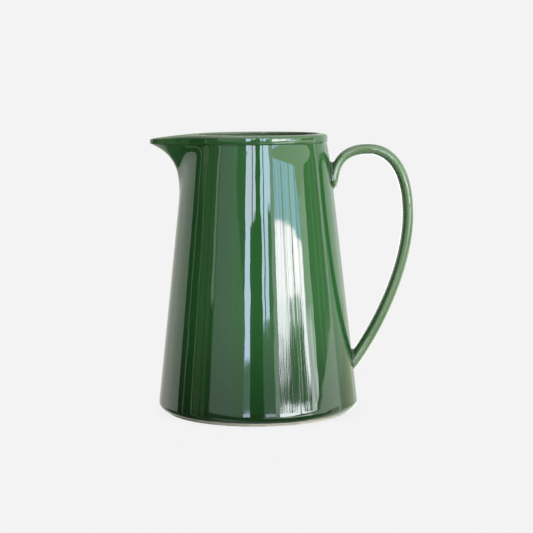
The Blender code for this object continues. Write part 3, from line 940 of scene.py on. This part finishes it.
def clayMaterial():
    material, tree, shader = newMaterial("bare_stoneware")
    clay = clayFinish(tree)
    bump = addNode(tree, "ShaderNodeBump", {"Height": clay["Height"], "Distance": glazes["clayBump"]})
    feed(tree, clay["Color"], shader.inputs["Base Color"])
    feed(tree, clay["Roughness"], shader.inputs["Roughness"])
    feed(tree, bump.outputs["Normal"], shader.inputs["Normal"])
    return material


# Studio

studio = {
    "ground": 0.896,  # what the camera sees behind and below
    "floorTint": 0.80,
    "floorSize": 3.0,
    # painted contact shadow on the floor: how far it reaches and how bright it leaves the floor
    "contactReach": 0.012,
    "contactShade": 0.94,
    "room": (0.55, 0.58, 0.60),
    "cameraOffset": 0.00676,
    "cameraDistance": 1.19298,
    "cameraHeight": 0.23907,
    "tiltDown": 6.461,
    "roll": -0.376,
    "lens": 111.97,
}

# Light panels round the object: from and to in degrees round it (0 in front, + towards the handle),
# bottom and top in degrees above level, softness of upright and level edges, radiance.
roomPanels = [
    ("sky", -180, 180, 30, 90, 8, 8, (2.4, 2.4, 2.2)),
    ("backdrop left", -190, -106, -60, 60, 1.5, 4, (1.09, 1.14, 1.06)),
    ("under", -190, 92, -60, -14, 6, 2, (0.10, 0.11, 0.09)),
    ("backdrop left far", -190, -138, -60, 60, 14, 4, (0.86, 0.86, 0.80)),
    ("backdrop right", 112, 190, -60, 60, 1.5, 4, (1.2, 1.3, 1.2)),
    ("backdrop right far", 156, 190, -60, 60, 14, 4, (0.80, 0.82, 0.78)),
    ("rear strip left", -190, -175.2, -60, 0.4, 1.0, 0.8, (5.0, 5.0, 5.2)),
    ("rear strip right", 176, 190, -60, 0.4, 1.0, 0.8, (5.0, 5.0, 5.2)),
    ("far table", 92, 180, -60, -12.4, 6, 1.0, (1.9, 2.1, 1.8)),
    ("table edge", 92, 150, -12.4, -4.0, 10.0, 1.0, (0.95, 1.0, 0.75)),
    ("dark left", -106, -58, -60, 26, 1.0, 2, (0.03, 0.03, 0.02)),
    ("thin frame left", -97.0, -95.2, -60, 24, 0.8, 2, (0.80, 0.90, 0.70)),
    ("upper streak left", -92, -84, 5.5, 24, 1.5, 3, (0.55, 0.65, 0.40)),
    ("streaks left", -83.5, -82, -60, 20, 0.8, 2, (1.0, 1.15, 0.85)),
    ("streaks left low", -80.5, -71.5, -60, 14, 1.5, 2, (0.25, 0.35, 0.18)),
    ("streaks left near", -69.5, -64, -60, 18, 1.5, 2, (0.25, 0.32, 0.18)),
    ("frame line", -62.5, -58.5, 3.2, 22, 0.5, 1, (1.75, 1.9, 1.8)),
    ("grey wall", -57.0, -29, -60, 24, 0.8, 2, (1.04, 1.22, 1.18)),
    ("pale between", -29, -16.0, -60, 24, 1.0, 2, (0.92, 1.20, 0.95)),
    ("dark between", -30, -16.0, 4.6, 18, 1.0, 1, (0.30, 0.42, 0.30)),
    ("grey right", 75.9, 104.5, -60, 26, 1.0, 2, (0.35, 0.40, 0.30)),
    ("streak right", 86.5, 88.5, -60, 26, 0.8, 2, (0.9, 1.0, 0.8)),
    ("streak right far", 96.0, 98.0, -60, 26, 0.8, 2, (0.8, 0.9, 0.7)),
    ("pale foot right", 92, 112, -60, -0.5, 3.0, 1.5, (1.1, 1.1, 1.0)),
    ("thin frame right", 106.0, 111.0, -60, 24, 0.6, 2, (2.0, 2.1, 2.0)),
]

# The same for the flat wall with the window in it, whose level lines sink towards its ends.
windowPanels = [
    ("dark middle", -8.9, 6.4, -60, 24, 0.6, 2, (0.03, 0.03, 0.03)),
    ("cool strip dim", -16.0, -8.9, -1.8, 3.4, 0.5, 0.6, (1.1, 1.8, 1.6)),
    ("cool strip", -16.0, -8.9, 3.0, 22.4, 0.5, 0.9, (9.5, 11.4, 15.4)),
    ("cool strip foot", -16.0, -8.9, -1.8, 1.0, 0.5, 0.3, (7.0, 8.0, 10.5)),
    ("cool strip wide", -13.6, -1.4, 8.3, 22.4, 0.5, 0.4, (9.8, 10.6, 13.4)),
    ("cool strip gap", -7.0, -5.6, 3.0, 22.4, 0.4, 0.4, (0.3, 0.4, 0.4)),
    ("cool pair dim", 6.4, 20.4, -1.8, 4.4, 0.5, 0.6, (0.7, 0.95, 0.8)),
    ("cool pair", 7.0, 15.8, 4.0, 20.6, 0.5, 0.6, (9.0, 11.0, 14.6)),
    ("cool pair wide", 5.8, 20.4, 8.0, 20.6, 0.5, 0.4, (9.2, 11.4, 15.0)),
    ("cool pair gap", 9.8, 11.2, 3.0, 20.6, 0.4, 0.4, (0.8, 1.0, 1.0)),
    ("cool pair foot", 8.0, 20.0, -1.8, 0.7, 0.5, 0.3, (5.0, 5.5, 6.5)),
    ("beige strip", 20.4, 25.5, -60, 24, 0.5, 0.4, (2.9, 3.3, 3.2)),
    ("beige edge", 65.5, 76.0, -60, 20, 0.6, 0.4, (3.3, 3.9, 3.3)),
    ("beige glints", 65.5, 76.0, -2.4, 3.8, 0.6, 1.2, (8.8, 9.4, 9.4)),
    ("window dusk", 25.5, 65.5, 7.5, 30, 0.4, 0.3, (4.9, 7.2, 9.6)),
    ("window", 25.5, 65.5, 4.6, 7.5, 0.4, 0.3, (23.0, 21.2, 23.4)),
    ("window folds", 25.5, 65.5, -2.2, 4.8, 0.4, 0.3, (20.5, 20.0, 22.0)),
    ("window foot", 25.5, 76.0, -2.2, 2.0, 0.4, 0.3, (17.0, 17.6, 18.4)),
    ("mullion", 49.6, 51.2, -60, 24, 0.4, 0.4, (3.0, 3.6, 3.0)),
    ("front table", -60, 92.0, -60, -2.2, 2.0, 0.5, (0.10, 0.11, 0.09)),
    ("lit table", 6.0, 108.0, -13, -3.0, 8.0, 1.0, (2.4, 2.6, 2.4)),
    ("sunlit table", 28.0, 64.0, -12, -3.6, 3.0, 1.0, (6.4, 6.8, 6.6)),
]

curtain = {
    "foldsPerDegree": 0.95,
    "foldStretch": 0.06,  # how little its folds change with height
    "foldScale": 1.0,
    "threadScale": 1.8,
    "foldBand": (0.54, 0.60),  # where in the noise each pattern changes
    "foldShade": 0.5,
    "threadBand": (0.60, 0.66),
    "threadShade": 0.6,
    "gapBand": (0.60, 0.68),
    "glintBand": (0.42, 0.56),
    "hemNear": 2.4,  # how far down it stays bright, in degrees above level, before and after hemTurn
    "hemFar": 4.2,
    "hemTurn": 39.5,
    "hemSpan": 3.5,
    "hemBlur": 0.9,
    "edgeTurn": 59.5,  # past it the streaks hang lower by edgeDrop
    "edgeDrop": 4.0,
    "ragged": 11.0,
    "footTop": 0.85,
    "footBlur": 0.15,
    "footTurn": 27.0,  # its bright foot sinks from here on
    "footSink": (0.008, 0.0014),
}

# The dark panel between the pale ones has a slanting foot.
slant = {"panel": "dark between", "turn": -16.0, "slope": 0.27}

# The pale gable over the window comes down to a point beside it.
gable = {
    "panel": ("gable", 25.5, 106, 6.5, 24, 0.5, 0.5, (2.6, 2.9, 2.4)),
    "foot": 70.5,
    "footHalf": 6.0,
    "rise": 0.30,
}

softLight = {
    "key": 4.25,
    "keyTurn": 50.0,  # degrees round the object, towards the handle
    "keySpread": 30.0,
    "back": 1.3,
    "backSpread": 40.0,
    "overhead": 0.45,
    "wallTurn": 16.0,  # which way the window's wall faces
    "wallEnd": 0.3,  # how slantwise, as a cosine, it is still seen as a wall
    "keyTop": (80.0, 30.0),  # the elevations between which the key light comes up
    "overheadFrom": (25.0, 75.0),
}


def panelMask(tree, azimuth, height, panel):
    left, right, bottom, top, soft, rise = panel[1:7]
    edges = [
        ramp(tree, azimuth, left - soft / 2, left + soft / 2),
        ramp(tree, azimuth, right - soft / 2, right + soft / 2, 1.0, 0.0),
        ramp(tree, height, bottom - rise / 2, bottom + rise / 2),
        ramp(tree, height, top - rise / 2, top + rise / 2, 1.0, 0.0),
    ]
    mask = edges[0]
    for edge in edges[1:]:
        mask = calc(tree, "MULTIPLY", mask, edge)
    return mask


def lookingAt(tree):
    # Degrees round the object, degrees above level, and the same as seen on the window's flat wall
    direction = addNode(tree, "ShaderNodeTexCoord").outputs["Generated"]
    parts = addNode(tree, "ShaderNodeSeparateXYZ", {0: direction})
    x, y, z = parts.outputs["X"], parts.outputs["Y"], parts.outputs["Z"]
    azimuth = calc(tree, "DEGREES", calc(tree, "ARCTAN2", x, calc(tree, "MULTIPLY", y, -1.0)))
    elevation = calc(tree, "DEGREES", calc(tree, "ARCTAN2", z, diagonal(tree, x, y)))
    aside = calc(tree, "RADIANS", calc(tree, "SUBTRACT", azimuth, softLight["wallTurn"]))
    facing = calc(tree, "MAXIMUM", calc(tree, "COSINE", aside), softLight["wallEnd"])
    height = calc(tree, "DIVIDE", elevation, facing)
    return azimuth, elevation, height


def curtainCloth(tree, azimuth, height):
    # Fine upright folds above, breaking into streaks below a ragged hem, and a bright foot
    c = curtain
    across = calc(tree, "MULTIPLY", azimuth, c["foldsPerDegree"])
    cloth = combined(tree, across, calc(tree, "MULTIPLY", height, c["foldStretch"]), 0.0)
    folds = noiseValue(tree, cloth, c["foldScale"], 1.0)
    threads = noiseValue(tree, cloth, c["threadScale"], 1.0)
    foldLines = ramp(tree, folds, *c["foldBand"], 1.0, c["foldShade"])
    threadLines = ramp(tree, threads, *c["threadBand"], 1.0, c["threadShade"])
    lines = calc(tree, "MINIMUM", foldLines, threadLines)
    swing = calc(tree, "MULTIPLY", calc(tree, "SUBTRACT", folds, 0.5), c["ragged"])
    hemStart, hemEnd = c["hemTurn"] - c["hemSpan"], c["hemTurn"] + c["hemSpan"]
    hem = ramp(tree, azimuth, hemStart, hemEnd, c["hemNear"], c["hemFar"])
    drop = ramp(tree, azimuth, c["edgeTurn"] - 1.0, c["edgeTurn"] + 1.5, 0.0, -c["edgeDrop"])
    hem = calc(tree, "ADD", hem, drop)
    over = calc(tree, "ADD", calc(tree, "SUBTRACT", height, hem), swing)
    streaks = calc(tree, "MULTIPLY", ramp(tree, over, -c["hemBlur"], c["hemBlur"], 0.03, 1.0), lines)
    streaks = calc(tree, "MAXIMUM", streaks, ramp(tree, threads, *c["gapBand"], 0.0, 0.5))
    glints = ramp(tree, threads, *c["glintBand"], 0.45, 1.0)
    past = calc(tree, "MAXIMUM", calc(tree, "SUBTRACT", azimuth, c["footTurn"]), 0.0)
    steepness = calc(tree, "MULTIPLY_ADD", past, c["footSink"][1], c["footSink"][0])
    sunk = calc(tree, "ADD", height, calc(tree, "MULTIPLY", past, steepness))
    level = calc(tree, "MULTIPLY_ADD", swing, c["footBlur"], sunk)
    footLine = ramp(tree, level, c["footTop"] - c["footBlur"], c["footTop"] + c["footBlur"], 1.0, 0.0)
    dimming = {"window": lines, "window dusk": lines, "window folds": streaks, "beige glints": glints}
    return dimming, footLine


def gableMask(tree, azimuth, elevation):
    aside = calc(tree, "ABSOLUTE", calc(tree, "SUBTRACT", azimuth, gable["foot"]))
    aside = calc(tree, "MAXIMUM", calc(tree, "SUBTRACT", aside, gable["footHalf"]), 0.0)
    over = calc(tree, "MULTIPLY_ADD", aside, -gable["rise"], elevation)
    return panelMask(tree, azimuth, over, gable["panel"])


def roomLight(tree, azimuth, elevation, height):
    # What the gloss shows: each panel is laid over those before it
    colour = (*studio["room"], 1.0)
    fromTurn = calc(tree, "SUBTRACT", azimuth, slant["turn"])
    slanted = calc(tree, "MULTIPLY_ADD", fromTurn, slant["slope"], elevation)
    for panel in roomPanels:
        level = slanted if panel[0] == slant["panel"] else elevation
        colour = blendColour(tree, panelMask(tree, azimuth, level, panel), colour, (*panel[-1], 1.0))
    dimming, footLine = curtainCloth(tree, azimuth, height)
    for panel in windowPanels:
        mask = panelMask(tree, azimuth, height, panel)
        shown = (*panel[-1], 1.0)
        if panel[0] in dimming:
            shown = scaled(tree, panel[-1], dimming[panel[0]])
        if panel[0] == "window foot":
            mask = calc(tree, "MULTIPLY", mask, footLine)
        colour = blendColour(tree, mask, colour, shown)
    mask = gableMask(tree, azimuth, elevation)
    return blendColour(tree, mask, colour, (*gable["panel"][-1], 1.0))


def bell(tree, value, spread):
    share = calc(tree, "DIVIDE", value, spread)
    return calc(tree, "EXPONENT", calc(tree, "MULTIPLY", calc(tree, "MULTIPLY", share, share), -1.0))


def broadLight(tree, azimuth, elevation):
    # What matte surfaces get: a broad soft light from the window's side, one behind and one overhead
    light = softLight
    key = bell(tree, calc(tree, "SUBTRACT", azimuth, light["keyTurn"]), light["keySpread"])
    behind = calc(tree, "SUBTRACT", 180.0, calc(tree, "ABSOLUTE", azimuth))
    back = calc(tree, "MULTIPLY", bell(tree, behind, light["backSpread"]), light["back"])
    sides = calc(tree, "MULTIPLY_ADD", key, light["key"], back)
    sides = calc(tree, "MULTIPLY", sides, ramp(tree, elevation, *light["keyTop"]))
    overhead = ramp(tree, elevation, *light["overheadFrom"])
    level = calc(tree, "MULTIPLY_ADD", overhead, light["overhead"], sides)
    return combined(tree, level, level, level)


def makeWorld():
    world = bpy.data.worlds.new("studio")
    bpy.context.scene.world = world
    world.use_nodes = True
    world.cycles.sampling_method = "NONE"
    tree = world.node_tree
    tree.nodes.clear()
    azimuth, elevation, height = lookingAt(tree)
    path = addNode(tree, "ShaderNodeLightPath")
    colour = roomLight(tree, azimuth, elevation, height)
    matte = broadLight(tree, azimuth, elevation)
    colour = blendColour(tree, path.outputs["Is Diffuse Ray"], colour, matte)
    ground = studio["ground"]
    colour = blendColour(tree, path.outputs["Is Camera Ray"], colour, (ground, ground, ground, 1.0))
    background = addNode(tree, "ShaderNodeBackground", {"Color": colour, "Strength": 1.0})
    out = addNode(tree, "ShaderNodeOutputWorld")
    tree.links.new(background.outputs[0], out.inputs["Surface"])


def makeFloor():
    mesh = bpy.data.meshes.new("floor")
    half = studio["floorSize"] / 2
    corners = [(-half, -half, 0.0), (half, -half, 0.0), (half, half, 0.0), (-half, half, 0.0)]
    mesh.from_pydata(corners, [], [(0, 1, 2, 3)])
    floor = bpy.data.objects.new("floor", mesh)
    bpy.context.scene.collection.objects.link(floor)
    material = bpy.data.materials.new("pale_floor")
    material.use_nodes = True
    tree = material.node_tree
    tree.nodes.clear()
    tint = studio["floorTint"]
    ground = studio["ground"]
    reach = {"Distance": studio["contactReach"]}
    # painted contact shadow: the floor the camera sees is an even glow, darkened by ambient occlusion near
    # the foot, not by the lights
    contact = addNode(tree, "ShaderNodeAmbientOcclusion", reach, samples=8).outputs["AO"]
    shade = ramp(tree, contact, 0.0, 0.9, ground * studio["contactShade"], ground, "LINEAR")
    plain = addNode(tree, "ShaderNodeEmission", {"Strength": shade})
    matte = addNode(tree, "ShaderNodeBsdfDiffuse", {"Color": (tint, tint, tint, 1.0)})
    seen = addNode(tree, "ShaderNodeLightPath").outputs["Is Camera Ray"]
    both = addNode(tree, "ShaderNodeMixShader", {0: seen, 1: matte.outputs[0], 2: plain.outputs[0]})
    out = addNode(tree, "ShaderNodeOutputMaterial")
    tree.links.new(both.outputs[0], out.inputs["Surface"])
    mesh.materials.append(material)
    floor.visible_glossy = False


def makeCamera():
    data = bpy.data.cameras.new("camera")
    data.lens = studio["lens"]
    data.sensor_width = 36.0
    camera = bpy.data.objects.new("camera", data)
    bpy.context.scene.collection.objects.link(camera)
    tilt = math.radians(90.0 - studio["tiltDown"])
    turn = Matrix.Rotation(tilt, 4, "X") @ Matrix.Rotation(math.radians(studio["roll"]), 4, "Z")
    place = (axisX + studio["cameraOffset"], -studio["cameraDistance"], studio["cameraHeight"])
    camera.matrix_world = Matrix.Translation(place) @ turn
    bpy.context.scene.camera = camera


vesselGlaze = glazeMaterial("green_glaze", glazes["thin"], glazes["body"], 0.8, True)
# the handle's glaze is a lighter copy of the green glaze: painted light from above
paintedLightHandleGlaze = glazeMaterial("handle_glaze", glazes["handleThinPaintedLight"], glazes["handleBodyPaintedLight"], 0.3, False)
jointGlaze = glazeMaterial("pooled_glaze", glazes["body"], glazes["deep"], 0.5, False)
bareClay = clayMaterial()
print("finishes made")

makeVessel(vesselGlaze)
print("vessel turned")
makeFoot(bareClay)
print("foot made")
strapHandle = makeHandle(paintedLightHandleGlaze)
print("handle pulled")
makeJoint("upper_joint", "upper_joint_coil", strapHandle, joint["radius"], jointGlaze)
makeJoint("lower_joint", "lower_joint_coil", strapHandle, joint["radiusLow"], jointGlaze)
print("joints filled")

makeWorld()
makeFloor()
makeCamera()
bpy.context.scene.view_settings.view_transform = "Standard"
print("studio set")
